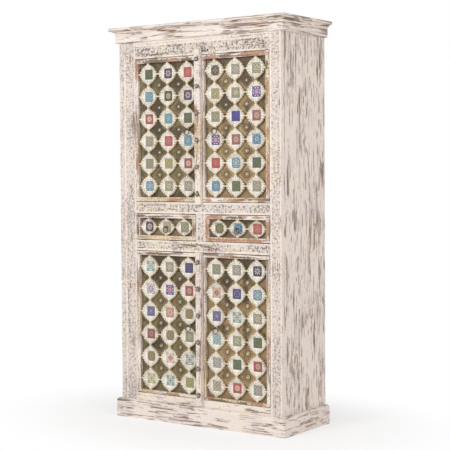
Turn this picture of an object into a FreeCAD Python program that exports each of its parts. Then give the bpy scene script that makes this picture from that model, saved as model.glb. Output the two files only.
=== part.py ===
import FreeCAD, Part
import math
import os

# Tall mango wood cabinet: four inset doors, two drawers, moulded cornice and plinth.
# Millimetres. X runs to the right, Y to the back and Z up. The origin lies on the floor,
# under the middle of the overall box.

# Body
body_width = 880.0
body_depth = 360.0
side_thickness = 20.0
back_thickness = 10.0
back_board_count = 5
back_board_gap = 0.6
shelf_thickness = 18.0
shelf_setback = 30.0
cleat_size = 18.0
cleat_setback = 20.0

# Face frame. The left stile is the wider one on this hand-built piece.
frame_thickness = 22.0
frame_proud = 9.0
left_stile_width = 92.5
right_stile_width = 57.0
mullion_width = 50.0
divider_thickness = 18.0

# Heights from the floor up
plinth_height = 85.0
bottom_rail_height = 35.0
lower_opening_height = 658.0
drawer_rail_height = 49.0
drawer_opening_height = 122.0
upper_rail_height = 52.0
upper_opening_height = 653.0
top_rail_height = 77.0

# Cornice: projections are measured from the plane that the mouldings are seated on
band_height = 29.0
band_projection = 16.6
band_round = 5.0
band_step = 1.1
cove_height = 25.0
cove_projection = 30.0
cove_sag = 4.0
slab_thickness = 15.0
slab_projection = 40.0
slab_round = 6.5

# Plinth
plinth_projection = 22.0
plinth_round = 12.0

# Doors
door_thickness = 26.0
door_proud = 0.5
hinge_gap = 2.0
edge_gap = 3.0
meeting_gap = 2.5
meeting_offset = 12.75
outer_border = 16.0
meeting_stile_width = 28.0
right_inner_border = 8.0
upper_border = 19.0
lower_border_top = 17.0
lower_border_bottom = 13.0
door_columns = 3
door_rows = 6

# Tiled field: carved plaques with a dished middle, on a brass sheet
plaque_setback = 3.0
plaque_thickness = 14.0
plaque_gap = 0.3
neck_half_width = 9.0
tip_half_height = 3.0
flank_half_height = 8.0
flank_share_x = 0.85
shoulder_share_x = 0.46
shoulder_share_z = 0.69
dish_share = 0.84
tile_size = 45.0
tile_clearance = 0.4
tile_thickness = 4.0
tile_depth = 12.0
brass_thickness = 1.0
boss_radius = 11.0
boss_top_radius = 5.0
boss_height = 3.0
boss_sides = 8

# Meeting strips of the left doors, with their studs
strip_width = 31.0
strip_thickness = 19.0
strip_long_lap = 25.0
upper_strip_short_lap = 8.0
lower_strip_short_lap = 3.0
strip_chamfer = 3.0
stud_count = 6
stud_end_distance = 46.0
stud_radius = 9.0
stud_top_radius = 5.5
stud_height = 4.0
stud_sides = 12

# Drawers
drawer_border_side = 17.5
drawer_border_height = 18.0
drawer_side_clearance = 6.0
drawer_box_height = 110.0
drawer_back_clearance = 33.5
drawer_side_thickness = 12.0
drawer_bottom_thickness = 6.0
drawer_bottom_rise = 8.0
guide_clearance = 2.0
guide_front_clearance = 2.0
guide_size = 18.0
drawer_columns = 3

# Ring pulls
ring_radius = 13.0
ring_wire_radius = 1.8
ring_runs = 18
ring_sides = 6
ring_stand_off = 2.0
staple_wire = 2.2
staple_width = 2.4
staple_slack = 0.7
staple_corner = 1.6

# Pivots: a plate on each end of a door's outer member, with a pin that turns in the rail
pivot_inset = 8.0
pivot_setback = 5.0
pivot_radius = 2.5
pivot_running_clearance = 0.05
pivot_depth = 10.0
pivot_end_clearance = 1.0
pivot_plate_thickness = 2.0
pivot_plate_width = 14.0
pivot_plate_depth = 20.0
pivot_plate_margin = 1.0

# Turn buttons over the right doors
button_width = 14.0
button_reach = 36.0
button_tail = 9.0
button_thickness = 7.0
button_pivot_x = 51.0
button_pivot_rise = 16.0
button_clearance = 0.3
button_rest_angle = 78.0
nail_radius = 2.0
nail_running_clearance = 0.05
nail_head_radius = 5.0
nail_head_top_radius = 3.0
nail_head_height = 2.5
nail_sides = 12
button_end_sides = 6

# Derived lines, from left to right
half_width = body_width / 2
left_open_x = -half_width + left_stile_width
right_open_x = half_width - right_stile_width
middle_x = (left_open_x + right_open_x) / 2
mullion_left_x = middle_x - mullion_width / 2
mullion_right_x = middle_x + mullion_width / 2
inner_x = (-half_width + side_thickness, half_width - side_thickness)
left_door_x = (left_open_x + hinge_gap, middle_x + meeting_offset)
right_door_x = (left_door_x[1] + meeting_gap, right_open_x - hinge_gap)
divider_x = (middle_x - divider_thickness / 2, middle_x + divider_thickness / 2)

# Derived lines, from front to back
back_y = (body_depth + slab_projection) / 2
seat_y = back_y - body_depth
frame_front_y = seat_y - frame_proud
frame_back_y = frame_front_y + frame_thickness
board_back_y = back_y - back_thickness
drawer_end_y = board_back_y - drawer_back_clearance
door_front_y = frame_front_y - door_proud
door_back_y = door_front_y + door_thickness
plaque_front_y = door_front_y + plaque_setback
brass_front_y = plaque_front_y + plaque_thickness
panel_front_y = brass_front_y + brass_thickness
tile_front_y = door_front_y + tile_depth
pivot_y = door_front_y + pivot_setback
pivot_xs = (left_door_x[0] + pivot_inset, right_door_x[1] - pivot_inset)

# Derived lines, from the floor up
lower_open_z = plinth_height + bottom_rail_height
lower_open_top_z = lower_open_z + lower_opening_height
drawer_open_z = lower_open_top_z + drawer_rail_height
drawer_open_top_z = drawer_open_z + drawer_opening_height
upper_open_z = drawer_open_top_z + upper_rail_height
upper_open_top_z = upper_open_z + upper_opening_height
cornice_z = upper_open_top_z + top_rail_height
slab_z = cornice_z + band_height + cove_height
body_top_z = slab_z + slab_thickness
upper_floor_z = upper_open_z - shelf_thickness
deck_z = drawer_open_z - shelf_thickness


def vec(x, y, z):
    return FreeCAD.Vector(x, y, z)


def block(x_span, y_span, z_span):
    """A board between two places on each axis."""
    size = [high - low for low, high in (x_span, y_span, z_span)]
    return Part.makeBox(*size, vec(x_span[0], y_span[0], z_span[0]))


def flat_face(points):
    return Part.Face(Part.makePolygon(points + points[:1]))


def save(node, solids):
    """Write one node: a solid, or a group of separate solids."""
    shape = solids[0] if len(solids) == 1 else Part.makeCompound(solids)
    shape.exportStep(f"parts/{node}.step")


def skin(sections, closed):
    """A solid of flat faces through sections with equal numbers of points."""
    faces = []
    pairs = list(zip(sections, sections[1:]))
    if closed:
        pairs.append((sections[-1], sections[0]))
    else:
        faces += [flat_face(sections[0]), flat_face(sections[-1])]
    for first, second in pairs:
        count = len(first)
        for i in range(count):
            j = (i + 1) % count
            faces.append(flat_face([first[i], first[j], second[j], second[i]]))
    solid = Part.makeSolid(Part.makeShell(faces))
    if solid.Volume < 0:
        solid.reverse()
    return solid


def regular_section(centre, radius, sides, y):
    """Points of a regular outline about an (x, z) centre."""
    turns = [math.tau * number / sides for number in range(sides)]
    return [vec(centre[0] + radius * math.cos(t), y, centre[1] + radius * math.sin(t)) for t in turns]


def profile_face(start, steps, place):
    """A closed outline of lines and arcs. A step is (end,) or (arc middle, end)."""
    edges = []
    here = start
    for step in steps:
        if len(step) == 1:
            edges.append(Part.makeLine(place(*here), place(*step[0])))
        else:
            edges.append(Part.Arc(place(*here), place(*step[0]), place(*step[1])).toShape())
        here = step[-1]
    if here != start:
        edges.append(Part.makeLine(place(*here), place(*start)))
    return Part.Face(Part.Wire(edges))


def plan_block(points):
    """A full-height block with an outline of (x, y) points."""
    return flat_face([vec(x, y, 0) for x, y in points]).extrude(vec(0, 0, body_top_z))


def mitred_mouldings(start, steps, projection):
    """Front, left and right lengths of one moulding, mitred at the two front corners."""
    reach = half_width + projection
    front_y = seat_y - projection
    front_face = profile_face(start, steps, lambda out, z: vec(-reach, seat_y - out, z))
    front = front_face.extrude(vec(2 * reach, 0, 0))
    plan = [(-reach, front_y), (reach, front_y), (half_width, seat_y), (-half_width, seat_y)]
    lengths = [front.common(plan_block(plan))]
    for side in (-1, 1):
        edge = side * half_width
        side_face = profile_face(start, steps, lambda out, z: vec(edge + side * out, front_y, z))
        length = side_face.extrude(vec(0, back_y - front_y, 0))
        plan = [(edge, seat_y), (side * reach, front_y), (side * reach, back_y), (edge, back_y)]
        lengths.append(length.common(plan_block(plan)))
    return [shape.Solids[0] for shape in lengths]


def arc_point(centre, radius, angle):
    return (centre[0] + radius * math.cos(angle), centre[1] + radius * math.sin(angle))


def build_cornice():
    """Rounded band, cove and nosed top slab, over a rail."""
    round_centre = (band_projection - band_round, cornice_z + band_round)
    band_top_z = cornice_z + band_height
    cove_start = (band_projection - band_step, band_top_z)
    cove_end = (cove_projection, slab_z)
    run, rise = cove_end[0] - cove_start[0], cove_end[1] - cove_start[1]
    chord = math.hypot(run, rise)
    cove_middle = (
        (cove_start[0] + cove_end[0]) / 2 - cove_sag * rise / chord,
        (cove_start[1] + cove_end[1]) / 2 + cove_sag * run / chord,
    )
    steps = [
        ((round_centre[0], cornice_z),),
        (arc_point(round_centre, band_round, -math.pi / 4), (band_projection, round_centre[1])),
        ((band_projection, band_top_z),),
        (cove_start,),
        (cove_middle, cove_end),
        ((0, slab_z),),
    ]
    mouldings = mitred_mouldings((0, cornice_z), steps, cove_projection)
    rail = block((-half_width, half_width), (seat_y, frame_back_y), (cornice_z, slab_z))
    save("cornice_mouldings", mouldings + [rail])

    reach = half_width + slab_projection
    slab = block((-reach, reach), (seat_y - slab_projection, back_y), (slab_z, body_top_z))
    nosed = [edge for edge in slab.Edges if on_nosing(edge, reach)]
    save("cornice_slab", [slab.makeFillet(slab_round, nosed)])


def on_nosing(edge, reach):
    """Level edges of the slab's front and two ends."""
    middle = edge.CenterOfMass
    level = abs(edge.Vertexes[0].Z - edge.Vertexes[-1].Z) < slab_round
    at_front = abs(middle.y - (seat_y - slab_projection)) < slab_round
    at_end = abs(abs(middle.x) - reach) < slab_round
    return level and (at_front or at_end)


def build_plinth():
    """Three mitred boards with a rounded top edge, over a base rail."""
    round_centre = (plinth_projection - plinth_round, plinth_height - plinth_round)
    steps = [
        ((plinth_projection, 0),),
        ((plinth_projection, round_centre[1]),),
        (arc_point(round_centre, plinth_round, math.pi / 4), (round_centre[0], plinth_height)),
        ((0, plinth_height),),
    ]
    boards = mitred_mouldings((0, 0), steps, plinth_projection)
    rail = block((-half_width, half_width), (seat_y, frame_back_y), (0, plinth_height))
    save("plinth_boards", boards + [rail])


def build_carcass():
    """Sides, back boards, fixed boards and shelves on cleats."""
    side_y = (frame_back_y, back_y)
    save("left_side", [block((-half_width, inner_x[0]), side_y, (0, slab_z))])
    save("right_side", [block((inner_x[1], half_width), side_y, (0, slab_z))])

    floor_z = lower_open_z - shelf_thickness
    pitch = (inner_x[1] - inner_x[0]) / back_board_count
    boards = []
    for number in range(back_board_count):
        left = inner_x[0] + number * pitch
        gap = back_board_gap if number else 0
        boards.append(block((left + gap, left + pitch), (board_back_y, back_y), (floor_z, slab_z)))
    save("back_boards", boards)

    board_y = (frame_back_y, board_back_y)
    floors = [block(inner_x, board_y, (z, z + shelf_thickness)) for z in (floor_z, deck_z, upper_floor_z)]
    save("fixed_floors", floors)

    shelves = []
    for low, high in ((lower_open_z, deck_z), (upper_open_z, slab_z)):
        shelf_z = (low + high - shelf_thickness) / 2
        shelf_y = (frame_back_y + shelf_setback, board_back_y)
        shelves.append(block(inner_x, shelf_y, (shelf_z, shelf_z + shelf_thickness)))
        cleat_y = (shelf_y[0] + cleat_setback, board_back_y)
        for end, inward in ((inner_x[0], 1), (inner_x[1], -1)):
            cleat_x = sorted((end, end + inward * cleat_size))
            shelves.append(block(cleat_x, cleat_y, (shelf_z - cleat_size, shelf_z)))
    save("shelves", shelves)


def build_guides():
    """Divider between the drawers, strips beside each box and kickers over its sides."""
    divider = block(divider_x, (frame_back_y, board_back_y), (drawer_open_z, upper_floor_z))
    guides = [divider]
    box_top_z = drawer_open_z + drawer_box_height
    guide_y = (door_back_y + guide_front_clearance, board_back_y)
    guide_z = (drawer_open_z, drawer_open_z + guide_size)
    kicker_z = (box_top_z + guide_clearance, upper_floor_z)
    for side in (0, 1):
        left, right = drawer_box_x(side)
        left_face, right_face = left - guide_clearance, right + guide_clearance
        inner_left = left_face - guide_size if side == 0 else divider_x[1]
        inner_right = divider_x[0] if side == 0 else right_face + guide_size
        guides.append(block((inner_left, left_face), guide_y, guide_z))
        guides.append(block((right_face, inner_right), guide_y, guide_z))
        guides.append(block((left, left + drawer_side_thickness), guide_y, kicker_z))
        guides.append(block((right - drawer_side_thickness, right), guide_y, kicker_z))
    save("drawer_guides", guides)


def build_face_frame():
    """Two stiles; four rails and the mullion between the drawers."""
    frame_y = (frame_front_y, frame_back_y)
    stile_z = (plinth_height, cornice_z)
    left = block((-half_width, left_open_x), frame_y, stile_z)
    right = block((right_open_x, half_width), frame_y, stile_z)
    save("face_frame_stiles", [left, right])
    rail_spans = (
        (plinth_height, lower_open_z),
        (lower_open_top_z, drawer_open_z),
        (drawer_open_top_z, upper_open_z),
        (upper_open_top_z, cornice_z),
    )
    rails = [block((left_open_x, right_open_x), frame_y, span) for span in rail_spans]
    for number, facing in ((0, 1), (1, -1), (2, 1), (3, -1)):
        open_z = rail_spans[number][1] if facing > 0 else rail_spans[number][0]
        holes = [pivot_hole(x, open_z, -facing) for x in pivot_xs]
        rails[number] = rails[number].cut(holes).Solids[0]
    mullion = block((mullion_left_x, mullion_right_x), frame_y, (drawer_open_z, drawer_open_top_z))
    save("face_frame_rails", rails + [mullion])


def pivot_hole(x, open_z, into):
    """Blind hole in a rail, from its face at open_z upwards or downwards."""
    radius = pivot_radius + pivot_running_clearance
    depth = pivot_depth + pivot_end_clearance
    return Part.makeCylinder(radius, depth, vec(x, pivot_y, open_z), vec(0, 0, into))


def pivot_shape(side, end_z, out):
    """Plate on a door's end, with its pin standing out into the rail."""
    x = pivot_xs[side]
    edge = left_door_x[0] if side == 0 else right_door_x[1]
    inward = 1 if side == 0 else -1
    near = edge + inward * pivot_plate_margin
    front = door_front_y + pivot_plate_margin
    plate_x = sorted((near, near + inward * pivot_plate_width))
    plate_y = (front, front + pivot_plate_depth)
    plate_z = sorted((end_z, end_z + out * pivot_plate_thickness))
    pin = Part.makeCylinder(pivot_radius, edge_gap + pivot_depth, vec(x, pivot_y, end_z), vec(0, 0, out))
    return block(plate_x, plate_y, plate_z).fuse(pin).removeSplitter().Solids[0]


def cell_centres(field_x, field_z, columns, rows):
    """Centres of the tiles, in rows from the top, with half the pitch each way."""
    half_x = (field_x[1] - field_x[0]) / columns / 2
    half_z = (field_z[1] - field_z[0]) / rows / 2
    centres = []
    for row in range(rows):
        for column in range(columns):
            centres.append((field_x[0] + half_x * (2 * column + 1), field_z[1] - half_z * (2 * row + 1)))
    return centres, half_x, half_z


def plaque_shape(half_x, half_z):
    """Plaque with a neck at each end and a small tip at each side, hollowed down to a square tile seat."""
    tip_x, tip_z = half_x - plaque_gap / 2, half_z - plaque_gap / 2
    flank_x = half_x * flank_share_x
    shoulder_x, shoulder_z = half_x * shoulder_share_x, half_z * shoulder_share_z
    outline = []
    for sx, sz in ((1, 1), (-1, 1), (-1, -1), (1, -1)):
        corner = [
            (sx * tip_x, sz * tip_half_height),
            (sx * flank_x, sz * flank_half_height),
            (sx * shoulder_x, sz * shoulder_z),
            (sx * neck_half_width, sz * tip_z),
        ]
        outline += corner if sx * sz > 0 else corner[::-1]
    body = flat_face([vec(x, plaque_front_y, z) for x, z in outline])
    body = body.extrude(vec(0, plaque_thickness, 0))

    seat = tile_size / 2 + tile_clearance
    seat_plane = tile_front_y + tile_thickness

    def rim(x, z):
        return vec(x * dish_share, plaque_front_y, z * dish_share)

    def floor(sx, sz):
        return vec(sx * seat, seat_plane, sz * seat)

    faces = []
    opening = []
    for sx, sz in ((1, 1), (-1, 1), (-1, -1), (1, -1)):
        side, shoulder, end = rim(sx * flank_x, 0), rim(sx * shoulder_x, sz * shoulder_z), rim(0, sz * half_z)
        faces += [flat_face([side, shoulder, floor(sx, sz)]), flat_face([shoulder, end, floor(sx, sz)])]
        opening += [side, shoulder] if sx * sz > 0 else [end, shoulder]
    for sign in (1, -1):
        faces.append(flat_face([rim(sign * flank_x, 0), floor(sign, -1), floor(sign, 1)]))
        faces.append(flat_face([rim(0, sign * half_z), floor(-1, sign), floor(1, sign)]))
    faces.append(flat_face([floor(1, 1), floor(-1, 1), floor(-1, -1), floor(1, -1)]))
    faces.append(flat_face(opening))
    dish = Part.makeSolid(Part.makeShell(faces))
    if dish.Volume < 0:
        dish.reverse()
    return body.cut(dish).Solids[0]


def moved(shape, x, z):
    copy = shape.copy()
    copy.translate(vec(x, 0, z))
    return copy


def tiled_field(name, sheet_x, sheet_z, field_x, columns, rows):
    """Brass sheet with pressed bosses, plaques on it and a tile in every plaque."""
    centres, half_x, half_z = cell_centres(field_x, sheet_z, columns, rows)
    sheet = block(sheet_x, (brass_front_y, panel_front_y), sheet_z)
    bosses = []
    for i in range(1, columns):
        for j in range(1, rows):
            centre = (field_x[0] + 2 * half_x * i, sheet_z[0] + 2 * half_z * j)
            base = regular_section(centre, boss_radius, boss_sides, brass_front_y)
            top = regular_section(centre, boss_top_radius, boss_sides, brass_front_y - boss_height)
            bosses.append(skin([base, top], False))
    save(f"{name}_brass", (sheet.fuse(bosses) if bosses else sheet).Solids)
    plaque = plaque_shape(half_x, half_z)
    save(f"{name}_plaques", [moved(plaque, x, z) for x, z in centres])
    half_tile = tile_size / 2
    tile_y = (tile_front_y, tile_front_y + tile_thickness)
    tile = block((-half_tile, half_tile), tile_y, (-half_tile, half_tile))
    save(f"{name}_tiles", [moved(tile, x, z) for x, z in centres])
    return centres


def ring_shape(x, y, z):
    """Ring pull of many straight runs, hanging in a plane along X and Z."""
    sections = []
    for run in range(ring_runs):
        turn = math.tau * run / ring_runs
        points = []
        for side in range(ring_sides):
            angle = math.tau * side / ring_sides
            reach = ring_radius + ring_wire_radius * math.cos(angle)
            depth = ring_wire_radius * math.sin(angle)
            points.append(vec(x + reach * math.cos(turn), y + depth, z + reach * math.sin(turn)))
        sections.append(points)
    return skin(sections, True)


def staple_shape(x, eye_z, face_y, eye_y):
    """Square-shouldered eye of flat iron that the ring hangs in."""
    inner = ring_wire_radius + staple_slack
    outer = inner + staple_wire
    inner_front, outer_front = eye_y - inner, eye_y - outer
    corner = staple_corner
    points = [
        (face_y, outer), (outer_front + corner, outer), (outer_front, outer - corner),
        (outer_front, corner - outer), (outer_front + corner, -outer), (face_y, -outer),
        (face_y, -inner), (inner_front, -inner), (inner_front, inner), (face_y, inner),
    ]
    left = x - staple_width / 2
    return flat_face([vec(left, y, eye_z + z) for y, z in points]).extrude(vec(staple_width, 0, 0))


def build_door(name, side, borders_x, open_z, borders_z):
    """One door: four frame members, board, tiled field, pivots and ring pull."""
    door_x = (left_door_x, right_door_x)[side]
    door_z = (open_z[0] + edge_gap, open_z[1] - edge_gap)
    panel_x = (door_x[0] + borders_x[0], door_x[1] - borders_x[1])
    panel_z = (door_z[0] + borders_z[0], door_z[1] - borders_z[1])
    door_y = (door_front_y, door_back_y)
    members = [
        block((door_x[0], panel_x[0]), door_y, door_z),
        block((panel_x[1], door_x[1]), door_y, door_z),
        block(panel_x, door_y, (panel_z[1], door_z[1])),
        block(panel_x, door_y, (door_z[0], panel_z[0])),
    ]
    save(f"{name}_frame", members)
    save(f"{name}_board", [block(panel_x, (panel_front_y, door_back_y), panel_z)])
    field_x = (panel_x[0], door_x[1] - strip_width) if side == 0 else panel_x
    centres = tiled_field(name, panel_x, panel_z, field_x, door_columns, door_rows)

    ring_x = centres[door_columns - 1 if side == 0 else 0][0]
    ring_z = (panel_z[0] + panel_z[1]) / 2
    eye_y = plaque_front_y - ring_wire_radius - ring_stand_off
    save(f"{name}_ring", [ring_shape(ring_x, eye_y, ring_z - ring_radius)])
    staple = staple_shape(ring_x, ring_z, plaque_front_y, eye_y)
    return [staple, pivot_shape(side, door_z[0], -1), pivot_shape(side, door_z[1], 1)]


def build_strip(name, strip_z):
    """Chamfered strip over the meeting edge; gives back its six studs."""
    strip_length = strip_z[1] - strip_z[0]
    right = left_door_x[1]
    left = right - strip_width
    front = door_front_y - strip_thickness
    cut = strip_chamfer
    points = [
        (left, door_front_y), (left, front + cut), (left + cut, front),
        (right - cut, front), (right, front + cut), (right, door_front_y),
    ]
    strip = flat_face([vec(x, y, strip_z[0]) for x, y in points]).extrude(vec(0, 0, strip_length))
    save(f"{name}_strip", [strip])
    spacing = (strip_length - 2 * stud_end_distance) / (stud_count - 1)
    studs = []
    for number in range(stud_count):
        centre = ((left + right) / 2, strip_z[0] + stud_end_distance + number * spacing)
        base = regular_section(centre, stud_radius, stud_sides, front)
        top = regular_section(centre, stud_top_radius, stud_sides, front - stud_height)
        studs.append(skin([base, top], False))
    return studs


def drawer_opening(side):
    """Left and right edges of a drawer opening; side 0 is the left one."""
    return (left_open_x, mullion_left_x) if side == 0 else (mullion_right_x, right_open_x)


def drawer_box_x(side):
    low, high = drawer_opening(side)
    return low + drawer_side_clearance, high - drawer_side_clearance


def build_drawer(name, side):
    """Drawer front with a tiled field in its pocket, and a box behind it."""
    opening = drawer_opening(side)
    front_x = (opening[0] + hinge_gap, opening[1] - hinge_gap)
    front_z = (drawer_open_z + edge_gap, drawer_open_top_z - edge_gap)
    field_x = (front_x[0] + drawer_border_side, front_x[1] - drawer_border_side)
    field_z = (front_z[0] + drawer_border_height, front_z[1] - drawer_border_height)
    board = block(front_x, (door_front_y, door_back_y), front_z)
    save(f"{name}_front", [board.cut(block(field_x, (door_front_y, panel_front_y), field_z)).Solids[0]])
    centres = tiled_field(name, field_x, field_z, field_x, drawer_columns, 1)

    box_x = drawer_box_x(side)
    box_z = (drawer_open_z, drawer_open_z + drawer_box_height)
    inside_x = (box_x[0] + drawer_side_thickness, box_x[1] - drawer_side_thickness)
    back_plane = drawer_end_y - drawer_side_thickness
    bottom_z = drawer_open_z + drawer_bottom_rise
    box = [
        block((box_x[0], inside_x[0]), (door_back_y, drawer_end_y), box_z),
        block((inside_x[1], box_x[1]), (door_back_y, drawer_end_y), box_z),
        block(inside_x, (back_plane, drawer_end_y), box_z),
        block(inside_x, (door_back_y, back_plane), (bottom_z, bottom_z + drawer_bottom_thickness)),
    ]
    save(f"{name}_box", box)
    x, z = centres[drawer_columns // 2]
    eye_y = door_front_y - ring_wire_radius
    save(f"{name}_staple", [staple_shape(x, z, tile_front_y, eye_y)])
    save(f"{name}_ring", [ring_shape(x, eye_y, z - ring_radius)])


def button_outline():
    """Outline with round ends about the pivot, the long arm pointing down."""
    half = button_width / 2
    points = []
    for centre_z, first in ((button_tail - half, 0), (half - button_reach, math.pi)):
        for step in range(button_end_sides + 1):
            turn = first + math.pi * step / button_end_sides
            points.append((half * math.cos(turn), centre_z + half * math.sin(turn)))
    return points


def build_buttons():
    """Two turn buttons on nails, turned aside from the right doors."""
    back = door_front_y - button_clearance
    front = back - button_thickness
    bore = nail_radius + nail_running_clearance
    head_back = front - button_clearance
    into = vec(0, 1, 0)
    nails = []
    for name, open_top in (("upper", upper_open_top_z), ("lower", lower_open_top_z)):
        pivot = (middle_x + button_pivot_x, open_top + button_pivot_rise)
        body = flat_face([vec(x, front, z) for x, z in button_outline()]).extrude(into * button_thickness)
        body = body.cut(Part.makeCylinder(bore, button_thickness, vec(0, front, 0), into))
        body.rotate(vec(0, 0, 0), -into, button_rest_angle)
        body.translate(vec(pivot[0], 0, pivot[1]))
        save(f"{name}_turn_button", [body.Solids[0]])
        seat = vec(pivot[0], head_back, pivot[1])
        shank = Part.makeCylinder(nail_radius, frame_front_y - head_back, seat, into)
        base = regular_section(pivot, nail_head_radius, nail_sides, head_back)
        top = regular_section(pivot, nail_head_top_radius, nail_sides, head_back - nail_head_height)
        nails.append(shank.fuse(skin([base, top], False)).removeSplitter().Solids[0])
    save("button_nails", nails)


def build_doors():
    """Four doors; the left ones carry the meeting strips."""
    levels = (
        ("upper", (upper_open_z, upper_open_top_z), (upper_border, upper_border)),
        ("lower", (lower_open_z, lower_open_top_z), (lower_border_bottom, lower_border_top)),
    )
    strip_places = (
        (upper_open_z - upper_strip_short_lap, upper_open_top_z + strip_long_lap),
        (lower_open_z - strip_long_lap, lower_open_top_z + lower_strip_short_lap),
    )
    for (level, open_z, borders_z), strip_z in zip(levels, strip_places):
        own = build_door(f"{level}_left", 0, (outer_border, meeting_stile_width), open_z, borders_z)
        save(f"{level}_left_fittings", own + build_strip(level, strip_z))
        own = build_door(f"{level}_right", 1, (right_inner_border, outer_border), open_z, borders_z)
        save(f"{level}_right_fittings", own)


def build():
    os.makedirs("parts", exist_ok=True)
    build_cornice()
    build_plinth()
    build_carcass()
    build_guides()
    build_face_frame()
    build_doors()
    build_drawer("left_drawer", 0)
    build_drawer("right_drawer", 1)
    build_buttons()


build()
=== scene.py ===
import math
from functools import partialmethod

import bpy
import numpy as np
from mathutils import Matrix, Vector


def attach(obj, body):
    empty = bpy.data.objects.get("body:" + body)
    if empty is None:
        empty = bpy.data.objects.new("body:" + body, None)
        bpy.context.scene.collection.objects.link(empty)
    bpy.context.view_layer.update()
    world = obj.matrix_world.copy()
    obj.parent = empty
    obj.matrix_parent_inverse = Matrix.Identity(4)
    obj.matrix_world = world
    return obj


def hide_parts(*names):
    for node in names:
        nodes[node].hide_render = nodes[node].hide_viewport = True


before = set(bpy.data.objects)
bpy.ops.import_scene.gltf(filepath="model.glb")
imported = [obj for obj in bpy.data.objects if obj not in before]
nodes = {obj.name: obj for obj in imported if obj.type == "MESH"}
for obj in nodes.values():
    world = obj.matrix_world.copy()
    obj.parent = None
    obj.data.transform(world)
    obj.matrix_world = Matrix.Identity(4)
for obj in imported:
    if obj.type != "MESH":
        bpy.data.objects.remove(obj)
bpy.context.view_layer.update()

# Sizes in millimetres, as in the part's source.
MM = 0.001
TINY = 1e-6
DOOR_FRONT = -169.5
FRAME_FRONT = -169
FRAME_BACK = -147
PLAQUE_FRONT = -166.5
TILE_FRONT = -157.5
TILE_BACK = -153.5
BRASS_FRONT = -152.5
BRASS_BACK = -151.5
STRIP_FRONT = -188.5
SEAT_HALF = 22.9
TILE_HALF = 22.5

# Where the face frame, the strips and their nails are.
FRAME_Z = (85, 1731)
RAIL_X = (-347.5, 383)
MULLION_Z = (827, 949)
STRIP_X = (-0.5, 30.5)
STRIP_Z = {"upper": (993, 1679), "lower": (95, 781)}
NAIL_X = 15
NAIL_COUNT = 6
NAIL_END = 46
NAIL_Z = {level: np.linspace(low + NAIL_END, high - NAIL_END, NAIL_COUNT)
          for level, (low, high) in STRIP_Z.items()}

# Each tiled field: its x and z span, columns and rows of plaques, and the x span of its brass sheet.
UPPER_Z, LOWER_Z, DRAWER_Z = (1023, 1632), (136, 758), (848, 928)
FIELD_BOXES = {
    "upper_left": ((-329.5, -0.5), UPPER_Z, 3, 6, (-329.5, 2.5)),
    "upper_right": ((41, 365), UPPER_Z, 3, 6, (41, 365)),
    "lower_left": ((-329.5, -0.5), LOWER_Z, 3, 6, (-329.5, 2.5)),
    "lower_right": ((41, 365), LOWER_Z, 3, 6, (41, 365)),
    "left_drawer": ((-328, -26.75), DRAWER_Z, 3, 1, (-328, -26.75)),
    "right_drawer": ((62.25, 363.5), DRAWER_Z, 3, 1, (62.25, 363.5)),
}

# Meshes

SHARP_ANGLE = 38


def add_object(name, data):
    obj = bpy.data.objects.new(name, data)
    bpy.context.scene.collection.objects.link(obj)
    return obj


class Shell:
    """Points, faces and attributes of one piece; an attribute has a value for each point or one for all."""

    def __init__(self):
        self.points = []
        self.faces = []
        self.data = {}
        self.count = 0

    def add(self, points, faces, **data):
        points = np.asarray(points, float).reshape(-1, 3)
        self.points.append(points)
        self.faces += (np.asarray(faces) + self.count).tolist()
        for key, values in data.items():
            values = np.asarray(values, float)
            if values.ndim < 2 and values.size != len(points):
                values = np.tile(values, (len(points), 1))
            self.data.setdefault(key, []).append(values)
        self.count += len(points)

    def cap(self, first, sides):
        """Flat face over a ring of points."""
        self.faces.append([first + number for number in range(sides)])

    def finish(self, name, material, body, slot, replaces=()):
        mesh = bpy.data.meshes.new(name)
        mesh.from_pydata((np.vstack(self.points) * MM).tolist(), [], self.faces)
        for key, parts in self.data.items():
            values = np.concatenate([part.reshape(len(part), -1) for part in parts])
            single = values.shape[1] == 1
            layer = mesh.attributes.new(key, "FLOAT" if single else "FLOAT_VECTOR", "POINT")
            layer.data.foreach_set("value" if single else "vector", values.astype(np.float32).ravel())
        mesh.polygons.foreach_set("use_smooth", [True] * len(mesh.polygons))
        mesh.set_sharp_from_angle(angle=math.radians(SHARP_ANGLE))
        mesh.materials.append(material)
        obj = add_object(name, mesh)
        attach(obj, body)
        if replaces:
            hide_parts(*replaces)


def grid_faces(rows, columns, flip=False, closed=False):
    """Quads of a grid of points, row by row; closed joins the last column to the first."""
    faces = []
    for row in range(rows - 1):
        here, above = row * columns, (row + 1) * columns
        for column in range(columns if closed else columns - 1):
            after = (column + 1) % columns
            quad = (here + column, here + after, above + after, above + column)
            faces.append(quad[::-1] if flip else quad)
    return faces


def border_loop(columns, rows):
    """Numbers of the points around the edge of a grid."""
    loop = list(range(columns)) + [row * columns + columns - 1 for row in range(1, rows)]
    loop += [(rows - 1) * columns + column for column in range(columns - 2, -1, -1)]
    return loop + [row * columns for row in range(rows - 2, 0, -1)]


def rectangle(x_span, y, z_span):
    """Corners of an upright rectangle facing the back."""
    return [(x_span[0], y, z_span[0]), (x_span[0], y, z_span[1]),
            (x_span[1], y, z_span[1]), (x_span[1], y, z_span[0])]


def joined(x, y, z):
    """Rows of points with these coordinates."""
    return np.stack(np.broadcast_arrays(x, y, z), -1).reshape(-1, 3)


def full_turn(sides):
    return np.linspace(0, math.tau, sides, endpoint=False)


def lathe(shell, centre, profile, sides, **data):
    """Turned shape about the Y axis; profile is (radius, y) from the rim to the middle."""
    points = [(centre[0] + radius * math.cos(turn), y, centre[1] + radius * math.sin(turn))
              for radius, y in profile for turn in full_turn(sides)]
    extra = {key: np.repeat(np.broadcast_to(values, len(profile)), sides) for key, values in data.items()}
    shell.add(points, grid_faces(len(profile), sides, closed=True), **extra)


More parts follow.
